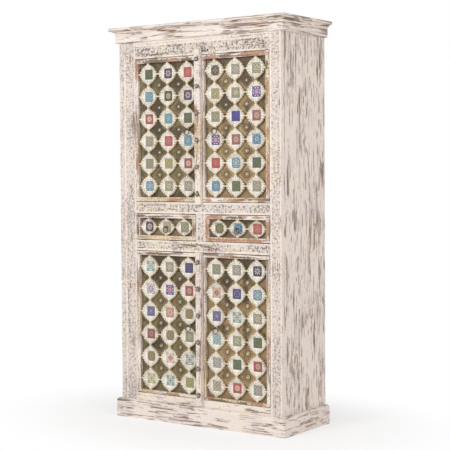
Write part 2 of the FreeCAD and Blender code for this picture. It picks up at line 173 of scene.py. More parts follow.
def unit(vectors):
    return vectors / np.linalg.norm(vectors, axis=1)[:, None]


def hoop(shell, path, radius, sides, **data):
    """Round bar along a closed path of points."""
    count = len(path)
    along = unit(unit(np.roll(path, -1, 0) - path) + unit(path - np.roll(path, 1, 0)))
    leaning = np.cross(along[count // 2] + (0.01, 0.02, 0.03), path.std(0) + (0.3, 0.2, 0.1))
    turns = full_turn(sides)
    points = []
    for middle, ahead, side in zip(path, along, unit(np.cross(along, leaning))):
        side = side - ahead * np.dot(ahead, side)
        side /= np.linalg.norm(side)
        other = np.cross(ahead, side)
        points += [middle + radius * (math.cos(turn) * side + math.sin(turn) * other) for turn in turns]
    last = (count - 1) * sides
    faces = grid_faces(count, sides, closed=True)
    faces += [(last + i, last + (i + 1) % sides, (i + 1) % sides, i) for i in range(sides)]
    shell.add(points, faces, **data)


def relief_board(shell, x_span, z_span, back, depth_of, step=2, front=FRAME_FRONT):
    """Board with a carved front: depth_of(x, z) is how far each point lies behind the front."""
    columns = int(round((x_span[1] - x_span[0]) / step)) + 1
    rows = int(round((z_span[1] - z_span[0]) / step)) + 1
    x, z = np.meshgrid(np.linspace(*x_span, columns), np.linspace(*z_span, rows))
    depth = depth_of(x, z)
    points = joined(x, front + depth, z)
    shell.add(points, grid_faces(rows, columns), hollow=depth.ravel())
    rim = points[border_loop(columns, rows)]
    rear = joined(rim[:, 0], back, rim[:, 2])
    walls = grid_faces(2, len(rim), flip=True, closed=True)
    shell.add(np.vstack([rim, rear]), walls, hollow=0)
    shell.add(rectangle(x_span, back, z_span), [(0, 1, 2, 3)], hollow=0)


# Carving

# Leaves about each flower, in mirrored pairs: shift along, lift across, turn, length and width.
LEAVES = ((-0.4, 0.36, 0.8, 0.17, 0.075), (-0.2, 0.43, 1.9, 0.1, 0.05),
          (-0.46, -0.12, -0.4, 0.15, 0.06), (-0.26, -0.44, 0.5, 0.12, 0.055))
# Bands across each member: start, end, kind and pitch of the flowers. The kind is a ridge, plain, or
# the depth of the carved ground.
LEFT_STILE = ((-440, -414, 3.4, 21), (-414, -405, "ridge", 0), (-405, -380.5, 4, 25),
              (-380.5, -356, 4, 25), (-356, -347.5, "ridge", 0))
RIGHT_STILE = ((383, 391, "ridge", 0), (391, 412, 4, 24), (412, 433, 4, 24), (433, 440, "ridge", 0))
TOP_RAIL = ((1654, 1662, "ridge", 0), (1662, 1685, 4.2, 25), (1685, 1708, 4.2, 25),
            (1708, 1714, "ridge", 0), (1714, 1725, 2.6, 12), (1725, 1731, "ridge", 0))
UPPER_RAIL = ((949, 957, "ridge", 0), (957, 975, 3.8, 21), (975, 993, 3.8, 21), (993, 1001, "ridge", 0))
LOWER_RAIL = ((778, 786, "ridge", 0), (786, 802.5, 3.8, 21), (802.5, 819, 3.8, 21),
              (819, 826.9, "ridge", 0))
BOTTOM_RAIL = ((85, 120, "plain", 0),)
MULLION = ((-7.25, -0.25, "ridge", 0), (-0.25, 17.75, 3.8, 20), (17.75, 35.75, 3.8, 20),
           (35.75, 42.75, "ridge", 0))
# Shift of the flowers on the first rail, from rail to rail, and on the mullion.
RAIL_SHIFT, RAIL_STEP, MULLION_SHIFT = 400, 17, 9


def smooth(low, high, value):
    share = np.clip((value - low) / (high - low), 0, 1)
    return share * share * (3 - 2 * share)


def oval(u, v, turn, long, short):
    """Distance from the middle of a turned oval, 1 at its edge, and the way off its long axis."""
    along, across = u * np.cos(turn) + v * np.sin(turn), v * np.cos(turn) - u * np.sin(turn)
    return np.hypot(along / long, across / short), across


def floral(along, across, width, pitch):
    """Height, 0 to 1, of a waving stem with flowers, leaves and buds; across counts from the middle."""
    cell = np.floor(along / pitch)
    place = along / pitch - cell - 0.5
    side = np.where(cell % 2 == 0, 1, -1)
    stem = -side * np.cos(math.pi * place) * width * 0.33
    high = 0.9 * (1 - smooth(0.8, 2.2, np.abs(across - stem)))
    u, v = place * pitch, across - side * width * 0.12
    far, angle = np.hypot(u, v), np.arctan2(v, u)
    size = min(width * 0.72, pitch) * 0.4
    petal = size * (0.74 + 0.26 * np.cos(6 * angle + cell * 1.7))
    flower = (1 - smooth(-1, 0.8, far - petal)) * (0.45 + 0.55 * smooth(0.15, 0.7, far / size))
    high = np.maximum(high, np.maximum(flower, 1 - smooth(0.7, 2, far)))
    for shift, lift, turn, long, short in LEAVES:
        for way in (1, -1):
            leaf_u, leaf_v = u - way * shift * pitch, across - side * lift * width
            edge, off = oval(leaf_u, leaf_v, way * turn * side, width * long, width * short)
            leaf = (1 - smooth(0.7, 1.05, edge)) * (0.6 + 0.4 * smooth(0.2, 1.2, np.abs(off)))
            high = np.maximum(high, leaf)
    return high


def banded(across, along, bands, shift=0):
    """Depth behind the front of a member made of ridges and carved bands."""
    depth = np.zeros_like(across)
    for start, end, kind, pitch in bands:
        inside = (across >= start - TINY) & (across <= end + TINY)
        middle, half = (start + end) / 2, (end - start) / 2
        away = np.abs(across - middle)
        if kind == "ridge":
            value = 0.2 + 1.3 * (away / half) ** 4
        elif kind == "plain":
            value = 1.4 * (away / half) ** 14
        else:
            wall = smooth(0, 1.6, half - away)
            relief = floral(along + shift + middle, across - middle, end - start, pitch)
            value = 1 + (kind - 1) * wall * (1 - 0.88 * relief)
        depth = np.where(inside, value, depth)
    return depth


def ends(bands):
    return bands[0][0], bands[-1][1]


def build_face_frame():
    stiles = Shell()
    for bands in (LEFT_STILE, RIGHT_STILE):
        relief_board(stiles, ends(bands), FRAME_Z, FRAME_BACK, lambda x, z, b=bands: banded(x, z, b))
    stiles.finish("carved_stiles", stile_paint, "carcass", "carved_paint", ["face_frame_stiles"])
    rails = Shell()
    for number, bands in enumerate((BOTTOM_RAIL, LOWER_RAIL, UPPER_RAIL, TOP_RAIL)):
        shift = RAIL_SHIFT + RAIL_STEP * number
        relief_board(rails, RAIL_X, ends(bands), FRAME_BACK,
                     lambda x, z, b=bands, s=shift: banded(z, x, b, s))
    relief_board(rails, ends(MULLION), MULLION_Z, FRAME_BACK,
                 lambda x, z: banded(x, z, MULLION, MULLION_SHIFT))
    rails.finish("carved_rails", rail_paint, "carcass", "carved_paint", ["face_frame_rails"])


# Materials

# Sockets of a colour mix node.
MIX_FIRST, MIX_SECOND, MIX_RESULT = 6, 7, 2

PALE = (0.79, 0.703, 0.652)
CREAM = (0.81, 0.725, 0.6)
LILAC = (0.7, 0.625, 0.645)
TAN = (0.58, 0.44, 0.26)
RUST = (0.34, 0.165, 0.085)
DARK = (0.125, 0.086, 0.062)
GRIME = (0.13, 0.1, 0.085)
UMBER = (0.27, 0.175, 0.115)
BURNT = (0.13, 0.075, 0.05)
OCHRE = (0.21, 0.145, 0.08)
CLAY = (0.48, 0.26, 0.15)
TERRACOTTA = (0.38, 0.14, 0.065)
OLIVE = (0.115, 0.088, 0.05)
BRONZE = (0.29, 0.23, 0.11)
GOLD = (0.5, 0.34, 0.17)
# Scale of the grain noise on each axis; it is small along the grain, below LONG_GRAIN.
GRAIN = {
    "x": (3, 95, 95), "y": (95, 3, 95), "z": (95, 95, 3), "level": (3.2, 3.2, 95), "plank": (75, 75, 3.6),
}
LONG_GRAIN = 10
TILE_COLOURS = ("ground", "motif", "heart", "spots")
SPOT_PITCH = 8.4


class Nodes:
    """Short names for building one material's nodes."""

    def __init__(self, name):
        self.material = bpy.data.materials.new(name)
        self.material.use_nodes = True
        self.tree = self.material.node_tree
        self.shader = self.tree.nodes["Principled BSDF"]
        self.place = self.new("TexCoord").outputs["Object"]
        self.colour = None

    def put(self, socket, value):
        if isinstance(value, bpy.types.NodeSocket):
            self.tree.links.new(value, socket)
        elif isinstance(value, tuple) and socket.type == "RGBA":
            socket.default_value = (*value, 1)
        else:
            socket.default_value = value

    def new(self, kind, *values):
        """New node with its first inputs set."""
        node = self.tree.nodes.new(f"ShaderNode{kind}")
        for socket, value in zip(node.inputs, values):
            self.put(socket, value)
        return node

    def math(self, operation, first, second=0, clamp=False):
        node = self.new("Math", first, second)
        node.operation = operation
        node.use_clamp = clamp
        return node.outputs[0]

    times = partialmethod(math, "MULTIPLY")
    plus = partialmethod(math, "ADD")
    minus = partialmethod(math, "SUBTRACT")
    most = partialmethod(math, "MAXIMUM")
    size = partialmethod(math, "ABSOLUTE")

    def length(self, across, up):
        return self.math("SQRT", self.plus(self.times(across, across), self.times(up, up)))

    def vector(self, operation, first, second=(0, 0, 0)):
        node = self.new("VectorMath", first, second)
        node.operation = operation
        return node.outputs["Value" if operation == "LENGTH" else "Vector"]

    def noise(self, scale, detail, rough, shift=(0, 0, 0)):
        """Noise with a scale for each axis, or one for all."""
        mapping = self.new("Mapping", self.place, shift)
        mapping.inputs["Scale"].default_value = scale if isinstance(scale, tuple) else (scale,) * 3
        node = self.new("TexNoise", mapping.outputs[0])
        node.inputs["Scale"].default_value = 1
        node.inputs["Detail"].default_value = detail
        node.inputs["Roughness"].default_value = rough
        return node.outputs[0]

    def step(self, value, low, high):
        node = self.new("MapRange", value, low, high)
        node.interpolation_type = "SMOOTHSTEP"
        return node.outputs[0]

    def mix(self, share, first, second):
        node = self.new("Mix", share)
        node.data_type = "RGBA"
        self.put(node.inputs[MIX_FIRST], first)
        self.put(node.inputs[MIX_SECOND], second)
        return node.outputs[MIX_RESULT]

    def lay(self, share, tone):
        """Lay a tone over the colour so far."""
        self.colour = self.mix(share, self.colour, tone)

    def attribute(self, name, vector=False):
        node = self.new("Attribute")
        node.attribute_name = name
        return node.outputs["Vector" if vector else "Fac"]

    def split(self, vector):
        return self.new("SeparateXYZ", vector).outputs

    def patch(self, x, z, half_x, half_z, ragged):
        """Mask of a worn patch about (x, z), in millimetres, with a ragged edge."""
        moved = self.vector("SUBTRACT", self.place, (x * MM, 0, z * MM))
        far = self.vector("LENGTH", self.vector("MULTIPLY", moved, (1 / MM / half_x, 0, 1 / MM / half_z)))
        return self.step(self.plus(far, ragged), 1.05, 0.75)

    def bump(self, height, strength, distance):
        node = self.new("Bump")
        node.inputs["Strength"].default_value = strength
        node.inputs["Distance"].default_value = distance
        self.put(node.inputs["Height"], height)
        self.tree.links.new(node.outputs[0], self.shader.inputs["Normal"])

    def finish(self, roughness):
        self.put(self.shader.inputs["Base Color"], self.colour)
        self.put(self.shader.inputs["Roughness"], roughness)
        return self.material


def scaled(values, factor):
    return tuple(factor * value for value in values)


def paint(name, grain, streak, speckle, patches=(), soiled_and_shaded=(), hollow=0, second=None, veiled=0.16,
          tinted=(), creamy=1):
    """Whitewash over dark wood, rubbed through in thin broken lines along the grain and in patches.

    streak, speckle, hollow, veiled and creamy are amounts of lines, specks, grime in the carving,
    faint broad wear and cream tint. second is another grain and the heights that it holds between.
    """
    look = Nodes(name)
    if second:
        other, low, high = second
        place_z = look.split(look.place)[2]
        above = look.step(place_z, (low - 1) * MM, low * MM)
        turned = look.times(above, look.step(place_z, (high + 1) * MM, high * MM))

    def grained(factor, detail, rough, shift, broken=1):
        """Noise drawn out along the grain; broken makes its lines shorter."""
        def scales(way):
            return tuple(factor * s * (broken if s < LONG_GRAIN else 1) for s in GRAIN[way])
        first = look.noise(scales(grain), detail, rough, shift)
        if not second:
            return first
        cross = look.noise(scales(other), detail, rough, shift)
        return look.plus(first, look.times(turned, look.minus(cross, first)))

    def ridges(factor, width, shift, share):
        """Thin lines where the noise is near its middle, let through in places."""
        far = look.size(look.minus(grained(factor, 2, 0.5, shift), 0.5))
        gate = look.plus(grained(0.55 * factor, 3, 0.6, shift[::-1], 6), sway)
        return look.times(look.step(far, width, width * 0.3), look.step(gate, share, share + 0.07))

    fine = grained(4.2, 3, 0.6, (3.1, 1.7, 0.4))
    cloud = look.noise((7, 7, 5), 3, 0.5, (5, 1, 2))
    tint = look.noise((11, 11, 9), 2, 0.5, (1, 8, 3))
    sway = look.times(look.minus(cloud, 0.5), 0.32)
    look.colour = look.mix(look.times(look.step(tint, 0.4, 0.7), creamy), PALE, CREAM)
    look.lay(look.times(look.step(cloud, 0.5, 0.75), 0.35), LILAC)
    wide = ridges(0.6, 0.042, (0.3, 0.2, 0.9), 0.6 - 0.14 * streak)
    thin = ridges(1.2, 0.055, (7.7, 2.3, 5.1), 0.6 - 0.14 * streak)
    veil = look.step(grained(1, 4, 0.62, (0, 0, 0)), 0.66 - 0.1 * streak, 0.8 - 0.1 * streak)
    veil = look.times(veil, veiled)
    lines = look.most(look.most(wide, look.times(thin, 0.85)), veil)
    lines = look.times(lines, look.step(fine, 0.22, 0.45))
    specks = look.plus(look.noise(170, 3, 0.65), look.times(cloud, 0.3))
    specks = look.step(specks, 0.84 - 0.16 * speckle, 0.9 - 0.16 * speckle)
    wear = look.math("MAXIMUM", look.times(lines, 0.95), look.times(specks, 0.7), clamp=True)
    ragged = look.times(look.minus(look.noise(95, 5, 0.7, (2, 4, 6)), 0.5), 3.2)
    blot = look.noise(130, 3, 0.6, (9, 3, 1))
    for place in tinted:
        mask = look.patch(*place, look.times(ragged, 0.6))
        look.lay(look.times(mask, look.step(blot, 0.36, 0.54)), TAN)
    # Patches rubbed to terracotta, then dark patches: dirt on the doors and drawers, and on the strips a
    # ring round each nail that is part rust stain, part painted shadow of the dome.
    for places, inner, outer, share in ((patches, TERRACOTTA, CLAY, 0.85), (soiled_and_shaded, DARK, OCHRE, 0.95)):
        if places:
            mask = 0
            for place in places:
                mask = look.most(mask, look.patch(*place, ragged))
            rubbed = look.mix(look.step(fine, 0.35, 0.7), inner, outer)
            rubbed = look.mix(look.times(look.step(blot, 0.52, 0.66), 0.7), rubbed, BURNT)
            look.lay(look.times(mask, share), rubbed)
    rust = look.mix(look.step(tint, 0.42, 0.62), UMBER, RUST)
    look.lay(wear, look.mix(look.step(fine, 0.3, 0.75), DARK, rust))
    if hollow:
        grime = look.plus(look.noise(90, 3, 0.7, (4, 4, 1)), look.times(sway, 0.6))
        grime = look.plus(0.06, look.times(look.step(grime, 0.51, 0.575), hollow))
        deep = look.times(look.step(look.attribute("hollow"), 1.2, 3), grime)
        look.lay(deep, GRIME)
    look.bump(look.minus(look.times(fine, 0.35), wear), 0.35, 0.0012)
    return look.finish(look.plus(0.62, look.times(wear, 0.2)))


def bare_wood(name, grain, dark, light):
    """Unpainted wood with dark pores along its grain."""
    look = Nodes(name)
    warp = look.noise(scaled(GRAIN[grain], 0.25), 2, 0.5)
    long = look.noise(scaled(GRAIN[grain], 0.7), 4, 0.6, (1, 5, 2))
    pore = look.noise(scaled(GRAIN[grain], 5), 2, 0.5)
    tone = look.plus(look.times(warp, 0.55), look.times(long, 0.45))
    look.colour = look.mix(look.step(tone, 0.35, 0.66), dark, light)
    look.lay(look.times(look.step(pore, 0.62, 0.8), 0.5), scaled(dark, 0.35))
    look.bump(pore, 0.25, 0.0006)
    return look.finish(look.plus(0.5, look.times(long, 0.25)))


def brass(name, tarnished, bright, clear_z, clear_span):
    """Patinated brass sheet: tarnish thins out below clear_z."""
    look = Nodes(name)
    cloud = look.noise(11, 4, 0.62, (2, 2, 5))
    fine = look.noise(120, 3, 0.6)
    low = look.step(look.split(look.place)[2], (clear_z + clear_span) * MM, (clear_z - clear_span) * MM)
    bare = look.plus(look.times(low, 0.7), look.times(look.minus(cloud, 0.46), 3.4))
    look.colour = look.mix(look.step(bare, 0.12, 0.72), tarnished, bright)
    red, green, blue = bright
    ruddy = look.noise(16, 3, 0.6, (8, 1, 4))
    ruddy = look.times(look.step(ruddy, 0.54, 0.7), 0.5)
    look.lay(ruddy, scaled((red, 0.8 * green, 0.8 * blue), 0.75))
    look.lay(look.times(look.step(fine, 0.52, 0.75), 0.45), scaled(tarnished, 0.4))
    worn = look.step(look.noise(55, 4, 0.65, (3, 3, 3)), 0.42, 0.6)
    look.lay(look.times(look.attribute("border"), worn), (0.4, 0.33, 0.2))
    deep = look.step(look.attribute("hollow"), 0.1, 0.9)
    look.lay(look.times(deep, 0.88), (0.045, 0.034, 0.024))
    # Painted highlight: a pale brass colour laid on the raised tops of the pressed bosses.
    look.lay(look.attribute("shine"), (0.8, 0.72, 0.55))
    look.shader.inputs["Metallic"].default_value = 0.55
    look.bump(look.plus(cloud, look.times(fine, 0.25)), 0.5, 0.0016)
    return look.finish(look.plus(0.42, look.times(fine, 0.25)))


def plaque_paint(name):
    """Cream paint, chipped on the leaves and dark in the cuts."""
    look = Nodes(name)
    cloud = look.noise(14, 3, 0.5)
    fine = look.noise(210, 3, 0.6, (1, 2, 3))
    outer = look.step(look.attribute("rim"), 0.45, 0.9)
    look.colour = look.mix(look.step(cloud, 0.35, 0.7), (0.86, 0.82, 0.76), (0.81, 0.77, 0.7))
    look.lay(look.times(outer, look.step(fine, 0.12, 0.55)), (0.64, 0.55, 0.37))
    deep = look.times(look.step(look.attribute("hollow"), 0.25, 0.95), look.step(fine, 0.25, 0.6))
    look.lay(look.times(deep, 0.9), (0.19, 0.14, 0.085))
    chips = look.step(look.plus(fine, look.times(cloud, 0.5)), 0.8, 0.87)
    chips = look.times(chips, look.plus(0.34, look.times(outer, 0.56)))
    look.lay(chips, (0.27, 0.2, 0.12))
    spots = look.step(look.noise(125, 2, 0.6, (6, 2, 7)), 0.57, 0.66)
    spots = look.times(spots, look.step(look.attribute("rim"), 0.1, 0.35))
    look.lay(look.times(spots, 0.5), (0.36, 0.29, 0.19))
    look.bump(look.minus(look.times(fine, 0.5), chips), 0.3, 0.001)
    return look.finish(0.55)


def tile_glaze(name):
    """Painted tile: one flower in the middle, quarter flowers in the corners, ring and heart."""
    look = Nodes(name)
    u, v, _ = look.split(look.attribute("tile_place", True))
    petals, waist, reach = look.split(look.attribute("tile_flower", True))
    ring, ring_half, corner = look.split(look.attribute("tile_ring", True))
    eye, dots, white = look.split(look.attribute("tile_extra", True))
    ground, motif, heart, spots = [look.attribute(f"tile_{use}", True) for use in TILE_COLOURS]
    far = look.length(u, v)
    angle = look.math("ARCTAN2", v, u)

    columns = look.math("SINE", look.times(u, SPOT_PITCH))
    mosaic = look.times(columns, look.math("SINE", look.times(v, SPOT_PITCH)))
    look.colour = look.mix(look.times(look.step(mosaic, 0.18, 0.42), dots), ground, spots)

    wave = look.math("COSINE", look.times(angle, petals))
    edge = look.times(reach, look.plus(look.minus(1, waist), look.times(wave, waist)))
    look.lay(look.step(look.minus(far, edge), 0.04, -0.04), motif)
    band = look.minus(look.size(look.minus(far, ring)), ring_half)
    beads = look.times(look.step(band, 0.03, -0.03), look.step(wave, 0.3, -0.2))
    look.lay(beads, heart)
    vein = look.size(look.math("SINE", look.times(angle, look.times(petals, 0.5))))
    inside = look.step(look.minus(look.times(edge, 0.72), far), -0.03, 0.05)
    vein = look.times(look.step(vein, 0.16, 0.04), inside)
    look.lay(look.times(vein, 0.6), heart)
    look.lay(look.step(look.minus(far, eye), 0.06, 0), ground)
    look.lay(look.step(look.minus(far, look.times(eye, 0.7)), 0.03, -0.02), heart)

    corner_u = look.minus(1, look.size(u))
    corner_v = look.minus(1, look.size(v))
    corner_far = look.length(corner_u, corner_v)
    wave = look.math("COSINE", look.times(look.math("ARCTAN2", corner_v, corner_u), 8))
    edge = look.times(corner, look.plus(0.8, look.times(wave, 0.2)))
    petal = look.mix(white, motif, (0.66, 0.64, 0.58))
    look.lay(look.step(look.minus(corner_far, edge), 0.03, -0.03), petal)
    look.lay(look.step(corner_far, 0.2, 0.15), heart)

    rim = look.most(look.size(u), look.size(v))
    look.lay(look.times(look.step(rim, 0.93, 0.98), 0.6), (0.3, 0.27, 0.22))
    soft = look.noise(90, 3, 0.6)
    look.lay(look.times(look.step(soft, 0.55, 0.8), 0.25), (0.5, 0.48, 0.42))
    look.lay(0.12, (0.34, 0.255, 0.12))
    look.bump(soft, 0.15, 0.0008)
    look.shader.inputs["Coat Weight"].default_value = 0.28
    look.shader.inputs["Coat Roughness"].default_value = 0.12
    return look.finish(0.3)


def iron(name, black=(0.055, 0.048, 0.043), brown=(0.19, 0.115, 0.075), metal=0.6):
    """Dark iron with brown rust, lightened by a painted highlight wherever a piece asks for one, as on the
    tops of the nail domes.
    """
    look = Nodes(name)
    rust = look.noise(90, 4, 0.65)
    fine = look.noise(700, 2, 0.6)
    look.colour = look.mix(look.step(rust, 0.42, 0.66), black, brown)
    # Painted highlight: a light grey laid over the colour, strongest on the tops of the nail domes.
    look.lay(look.attribute("shine"), (0.6, 0.56, 0.5))
    look.shader.inputs["Metallic"].default_value = metal
    look.bump(look.plus(rust, look.times(fine, 0.4)), 0.45, 0.0007)
    return look.finish(look.plus(0.42, look.times(rust, 0.3)))


# Each worn or tinted patch is x, z and the two half sizes.
# Dark ring round each dome nail on the strips: partly a rust stain, partly a painted shadow of the nail's
# dome.
NAIL_STAIN_AND_SHADOW = 13.5
STRIP_PATCHES = ((6, 1405, 12, 30), (20, 1370, 7, 18), (6, 1330, 6, 24))
STRIP_TINTED = ((14, 1300, 18, 130),)
BUTTON_PATCHES = ((84, 796, 15, 9), (88, 1674, 5, 4))
nail_stains_and_shadows = [(NAIL_X, z, NAIL_STAIN_AND_SHADOW, NAIL_STAIN_AND_SHADOW) for heights in NAIL_Z.values() for z in heights]

stile_paint = paint("stile_whitewash", "z", 0.05, 0.6, hollow=0.56, creamy=0.6)
rail_paint = paint("rail_whitewash", "level", 0.25, 0.6, hollow=0.94)
side_paint = paint("side_whitewash", "plank", 0.88, 0.5, veiled=0, creamy=0.3)
cornice_paint = paint("cornice_whitewash", "level", 1.2, 0.5, second=("x", 1799, 1810), veiled=0.3,
                      creamy=0.5)
plinth_paint = paint("plinth_whitewash", "level", 0.9, 0.5, veiled=0.12, creamy=0.35)
# The strips get a dark ring round each nail: rust stain and painted shadow of the nail's dome.
strip_paint = paint("strip_whitewash", "z", 0.26, 0.8, STRIP_PATCHES, nail_stains_and_shadows, hollow=0.3,
                    tinted=STRIP_TINTED)
button_paint = paint("button_whitewash", "z", 0.7, 0.8, BUTTON_PATCHES)

# Streak, patches rubbed to terracotta, patches soiled dark and patches tinted tan.
DOOR_WEAR = {
    "upper_left": (
        0.6, ((-140, 1638, 62, 10), (-337, 1600, 10, 58), (-335, 1646, 30, 8), (-125, 1012, 52, 9),
              (-338, 1180, 8, 40)),
        ((-235, 1637, 75, 11), (-50, 1636, 40, 11)), ((-337, 1250, 9, 150), (-170, 1012, 200, 16))),
    "upper_right": (
        0.6, ((80, 1636, 55, 12), (300, 1642, 82, 14), (374, 1120, 9, 105), (372, 1480, 8, 60),
              (374, 1300, 7, 30), (60, 1012, 22, 8), (205, 1010, 46, 7), (340, 1013, 30, 8)),
        ((150, 1640, 40, 9), (372, 1590, 8, 30)),
        ((373, 1350, 16, 290), (36, 1250, 6, 140), (205, 1012, 80, 16))),
    "lower_left": (
        0.8, ((-140, 128, 45, 8), (-338, 600, 7, 40), (-250, 768, 60, 5)), ((-230, 765, 90, 5),),
        ((-337, 450, 8, 120), (-290, 128, 75, 14))),
    "lower_right": (
        0.75, ((165, 766, 52, 8), (62, 132, 30, 9), (320, 130, 40, 8), (373, 350, 7, 70)),
        ((240, 764, 80, 5), (110, 127, 60, 6), (240, 127, 34, 5)),
        ((373, 520, 10, 160), (36, 300, 14, 190), (205, 128, 190, 15))),
    "left_drawer": (
        1, ((-60, 936, 20, 8), (-20, 880, 8, 26)),
        ((-320, 938, 24, 6), (-240, 934, 60, 5), (-337, 868, 8, 28)),
        ((-180, 838, 200, 14), (-22, 888, 8, 50))),
    "right_drawer": (
        0.8, ((90, 936, 66, 11), (52, 888, 13, 50), (170, 838, 120, 8), (70, 838, 30, 10), (300, 838, 60, 7),
              (242, 938, 28, 9), (320, 938, 30, 6), (372, 888, 11, 44)),
        ((200, 936, 50, 6),), ((210, 838, 170, 14), (52, 888, 14, 50))),
}
door_paint = {}
for name, (streak, rubbed, soiled_and_shaded, tinted) in DOOR_WEAR.items():
    upright = ("z", *FIELD_BOXES[name][1])
    door_paint[name] = paint(f"{name}_whitewash", "level", streak, 0.7, rubbed, soiled_and_shaded, second=upright,
                             tinted=tinted)
WOOD = ((0.21, 0.12, 0.065), (0.36, 0.22, 0.125))
wood_x = bare_wood("mango_wood_across", "x", *WOOD)
wood_y = bare_wood("mango_wood_deep", "y", *WOOD)
wood_z = bare_wood("mango_wood_upright", "z", (0.19, 0.11, 0.06), (0.33, 0.2, 0.115))
# Tarnished and bright colour of each sheet, and the height where it clears with half its span.
BRASS_TONES = {
    "upper_left": (OLIVE, BRONZE, 1200, 500),
    "upper_right": ((0.135, 0.1, 0.06), (0.42, 0.3, 0.15), 1420, 260),
    "lower_left": (OLIVE, BRONZE, 500, 500),
    "lower_right": (OLIVE, GOLD, 560, 420),
    "left_drawer": (OLIVE, (0.38, 0.275, 0.145), 910, 90),
    "right_drawer": (OLIVE, (0.38, 0.27, 0.145), 920, 90),
}
brass_looks = {name: brass(f"brass_{name}", *row) for name, row in BRASS_TONES.items()}
plaque_look = plaque_paint("plaque_cream")
tile_look = tile_glaze("tile_glaze")
iron_look = iron("rusty_iron")
stud_look = iron("worn_nail", (0.07, 0.06, 0.05), (0.22, 0.16, 0.12), 0.3)

# Tiled fields

COLOURS = {
    "pine": (0.035, 0.057, 0.03), "green": (0.08, 0.122, 0.055), "sage": (0.285, 0.278, 0.175),
    "olive": (0.18, 0.168, 0.075), "lime": (0.37, 0.355, 0.12), "yellow": (0.41, 0.35, 0.14),
    "navy": (0.02, 0.009, 0.08), "cobalt": (0.035, 0.03, 0.22), "royal": (0.008, 0.012, 0.21),
    "blue": (0.11, 0.25, 0.39), "sky": (0.125, 0.29, 0.39), "teal": (0.14, 0.32, 0.3),
    "aqua": (0.38, 0.51, 0.47), "red": (0.41, 0.05, 0.06), "maroon": (0.33, 0.045, 0.05),
    "orange": (0.66, 0.19, 0.05), "rose": (0.44, 0.13, 0.12), "pink": (0.6, 0.19, 0.3),
    "violet": (0.22, 0.17, 0.36), "white": (0.65, 0.59, 0.51), "cream": (0.5, 0.45, 0.34),
    "grey": (0.35, 0.325, 0.24), "black": (0.05, 0.05, 0.04), "pale": (0.34, 0.345, 0.21),
    "mist": (0.4, 0.38, 0.38), "mauve": (0.29, 0.07, 0.085),
}
# Flower: petals, waist, reach. Ring: radius, half width, and reach of the corner flowers. Then the eye,
# the amount of spots and how white the corners are; last, whether the spots are a darker ground.
SHAPES = {
    "flower": ((8, 0.34, 0.7), (0.36, 0.04, 0.32), (0.24, 0, 1), 0),
    "wreath": ((8, 0.16, 0.57), (0.76, 0.1, 0.16), (0.16, 0, 1), 0),
    "bloom": ((8, 0.24, 0.6), (0.48, 0.06, 0.22), (0.26, 1, 0), 1),
    "sprig": ((8, 0.24, 0.8), (0.48, 0.06, 0.4), (0.26, 0.9, 0), 0),
    "star": ((4, 0.46, 0.54), (0, 0, 0.46), (0.22, 0, 1), 0),
    "cross": ((4, 0.24, 0.66), (0, 0, 0.98), (0.3, 0, 0), 0),
    "gem": ((4, 0.14, 0.6), (0, 0, 0.4), (0.18, 0.4, 0), 0),
    "disc": ((16, 0.05, 0.58), (0, 0, 0.2), (0.14, 0, 0), 0),
    "small": ((12, 0.1, 0.36), (0.56, 0.04, 0.26), (0.12, 0.5, 0), 1),
    "dots": ((6, 0.4, 0.5), (0.66, 0.07, 0.42), (0.16, 0.9, 0.3), 1),
    "plain": ((12, 0.1, 0.3), (0.6, 0.04, 0.24), (0.1, 0.8, 0), 0),
}
# Each tile, from the top row down: its shape and the colours of ground, motif and heart.
FIELDS = {
    "upper_left": """
        plain pine green green, flower navy white red, small red rose white,
        dots sky blue aqua, bloom black cream lime, flower navy white red,
        disc maroon cream grey, dots sky aqua teal, plain pine green sage,
        bloom grey pale olive, small red rose white, dots sky aqua blue,
        bloom sage grey green, bloom lime olive yellow, disc maroon cream red,
        dots sky aqua white, bloom pale cream sage, bloom grey cream violet""",
    "upper_right": """
        star pine orange red, bloom grey cream violet, bloom pale cream olive,
        bloom yellow olive mist, bloom sage pale cream, wreath cobalt pink white,
        bloom sage pale olive, plain royal cobalt cobalt, disc mauve grey rose,
        wreath cobalt pink white, disc mauve grey maroon, dots sky aqua cobalt,
        small red rose orange, dots sky aqua white, plain pine green green,
        dots blue aqua sky, plain green pine sage, bloom grey yellow violet""",
    "left_drawer": """
        flower navy white orange, flower grey cream black, bloom sage pale green""",
    "right_drawer": """
        star green orange red, dots blue aqua navy, small red rose white""",
    "lower_left": """
        cross white teal rose, bloom grey cream pale, plain navy cobalt blue,
        sprig white violet mist, wreath cobalt pink white, disc maroon grey red,
        plain cobalt mist navy, sprig rose cream orange, star olive orange red,
        bloom mauve grey maroon, star olive orange red, bloom sage grey pale,
        star olive orange red, gem white rose maroon, cross white teal maroon,
        cross white lime olive, cross white teal maroon, bloom lime olive grey""",
    "lower_right": """
        bloom sage pale green, bloom grey cream violet, flower navy white olive,
        gem cream red olive, plain cobalt navy white, dots sky aqua white,
        plain cobalt mist navy, cross white teal maroon, bloom grey cream sage,
        dots aqua sky blue, bloom pale cream sage, plain green pine green,
        bloom mist cream olive, plain green pine sage, disc maroon grey red,
        dots cream olive pine, disc red cream maroon, bloom grey mist violet""",
}
SPOT_SHADE = 0.28
# Points and pairs of leaves around a plaque, and the power of its outline's curve.
PLAQUE_SIDES = 144
LEAF_PAIRS = 11
PLAQUE_POWER = 1.6
# Rings of a plaque's face, as shares of the way from the seat to the outline; the last one is the wall.
PLAQUE_SHARES = (0, 0.1, 0.2, 0.28, 0.36, 0.46, 0.56, 0.66, 0.76, 0.84, 0.9, 0.95, 0.985, 1, 1)
# Half widths of its necks and side tips, and their gap to the edge of the cell.
NECK_HALF = 6.2
TIP_HALF = 2.6
END_GAP = 0.2
